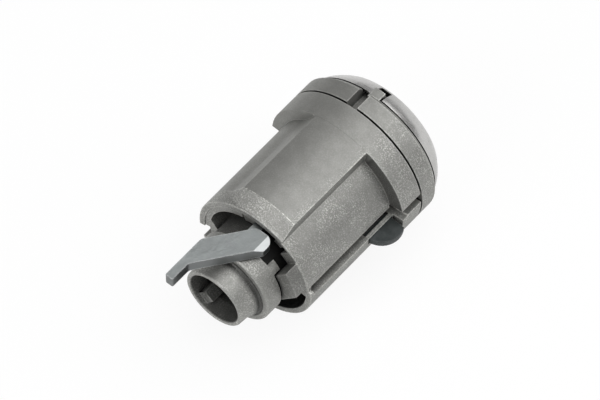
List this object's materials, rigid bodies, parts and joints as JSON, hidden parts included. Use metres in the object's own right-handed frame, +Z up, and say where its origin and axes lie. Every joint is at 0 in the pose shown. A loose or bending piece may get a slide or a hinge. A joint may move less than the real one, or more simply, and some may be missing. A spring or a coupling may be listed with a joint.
{
  "type": "ignition lock",
  "caption": "Cast lock barrel with a shuttered key face, an inner plug with sprung wafers, a drive sleeve, a cranked release lever and a spring catch.",
  "frame": {"origin": "on the barrel's axis, in the rear face of the flange, which seats on the steering column lock", "axes": "+Y along the barrel's axis towards the key face, +Z up as the barrel lies in the picture, +X to the right seen from the drive sleeve's end"},
  "size_m": [0.0361, 0.0627, 0.0348],
  "materials": {
    "cast_zinc": "as-cast zinc alloy, grainy satin",
    "sleeve_zinc": "cast zinc alloy, tumbled satin",
    "lever_plate": "plated sheet steel, satin",
    "cap_stainless": "drawn stainless steel, bright satin",
    "dark_steel": "dark passivated steel",
    "wafer_brass": "stamped brass",
    "spring_steel": "spring wire and ground pins"
  },
  "bodies": {
    "housing": {"housing": "cast_zinc", "lever_pin": "spring_steel", "lever_spring": "spring_steel", "catch_spring": "spring_steel"},
    "plug": {"plug": "cast_zinc", "plug_clip": "spring_steel", "face_cap": "cap_stainless", "shutter_pin": "spring_steel", "shutter_spring": "spring_steel", "drive_sleeve": "sleeve_zinc", "sleeve_pin": "spring_steel", "wafer_spring_1": "spring_steel", "wafer_spring_2": "spring_steel", "wafer_spring_3": "spring_steel", "wafer_spring_4": "spring_steel", "wafer_spring_5": "spring_steel", "wafer_spring_6": "spring_steel", "wafer_spring_7": "spring_steel", "wafer_spring_8": "spring_steel"},
    "shutter": {"shutter": "cap_stainless"},
    "wafer_1": {"wafer_1": "wafer_brass"},
    "wafer_2": {"wafer_2": "wafer_brass"},
    "wafer_3": {"wafer_3": "wafer_brass"},
    "wafer_4": {"wafer_4": "wafer_brass"},
    "wafer_5": {"wafer_5": "wafer_brass"},
    "wafer_6": {"wafer_6": "wafer_brass"},
    "wafer_7": {"wafer_7": "wafer_brass"},
    "wafer_8": {"wafer_8": "wafer_brass"},
    "lever": {"lever": "lever_plate"},
    "catch": {"retaining_catch": "dark_steel"}
  },
  "joints": [
    {"name": "plug_turn", "type": "hinge", "parent": "housing", "child": "plug", "pos_m": [0, 0, 0], "axis": [0, -1, 0], "range_deg": [0, 110]},
    {"name": "shutter_swing", "type": "hinge", "parent": "plug", "child": "shutter", "pos_m": [-0.0033, 0.01375, 0], "axis": [0, 0, -1], "range_deg": [0, 80], "stiffness_Nm_per_rad": 0.0002, "springref_deg": -28.65},
    {"name": "wafer_1_slide", "type": "slide", "parent": "plug", "child": "wafer_1", "axis": [0, 0, 1], "range_m": [0, 0.0007], "stiffness_N_per_m": 60, "springref_m": 0.002, "deforming": ["wafer_spring_1"]},
    {"name": "wafer_2_slide", "type": "slide", "parent": "plug", "child": "wafer_2", "axis": [0, 0, -1], "range_m": [0, 0.0007], "stiffness_N_per_m": 60, "springref_m": 0.002, "deforming": ["wafer_spring_2"]},
    {"name": "wafer_3_slide", "type": "slide", "parent": "plug", "child": "wafer_3", "axis": [0, 0, 1], "range_m": [0, 0.0007], "stiffness_N_per_m": 60, "springref_m": 0.002, "deforming": ["wafer_spring_3"]},
    {"name": "wafer_4_slide", "type": "slide", "parent": "plug", "child": "wafer_4", "axis": [0, 0, -1], "range_m": [0, 0.0007], "stiffness_N_per_m": 60, "springref_m": 0.002, "deforming": ["wafer_spring_4"]},
    {"name": "wafer_5_slide", "type": "slide", "parent": "plug", "child": "wafer_5", "axis": [0, 0, 1], "range_m": [0, 0.0007], "stiffness_N_per_m": 60, "springref_m": 0.002, "deforming": ["wafer_spring_5"]},
    {"name": "wafer_6_slide", "type": "slide", "parent": "plug", "child": "wafer_6", "axis": [0, 0, -1], "range_m": [0, 0.0007], "stiffness_N_per_m": 60, "springref_m": 0.002, "deforming": ["wafer_spring_6"]},
    {"name": "wafer_7_slide", "type": "slide", "parent": "plug", "child": "wafer_7", "axis": [0, 0, 1], "range_m": [0, 0.0007], "stiffness_N_per_m": 60, "springref_m": 0.002, "deforming": ["wafer_spring_7"]},
    {"name": "wafer_8_slide", "type": "slide", "parent": "plug", "child": "wafer_8", "axis": [0, 0, -1], "range_m": [0, 0.0007], "stiffness_N_per_m": 60, "springref_m": 0.002, "deforming": ["wafer_spring_8"]},
    {"name": "lever_swing", "type": "hinge", "parent": "housing", "child": "lever", "pos_m": [0, -0.0235, 0.0114], "axis": [-1, 0, 0], "range_deg": [0, 8], "stiffness_Nm_per_rad": 0.004, "springref_deg": -17.19},
    {"name": "catch_slide", "type": "slide", "parent": "housing", "child": "catch", "axis": [-0.9962, 0, 0.0872], "range_m": [0, 0.0021], "stiffness_N_per_m": 400, "springref_m": -0.001, "deforming": ["catch_spring"]}
  ]
}
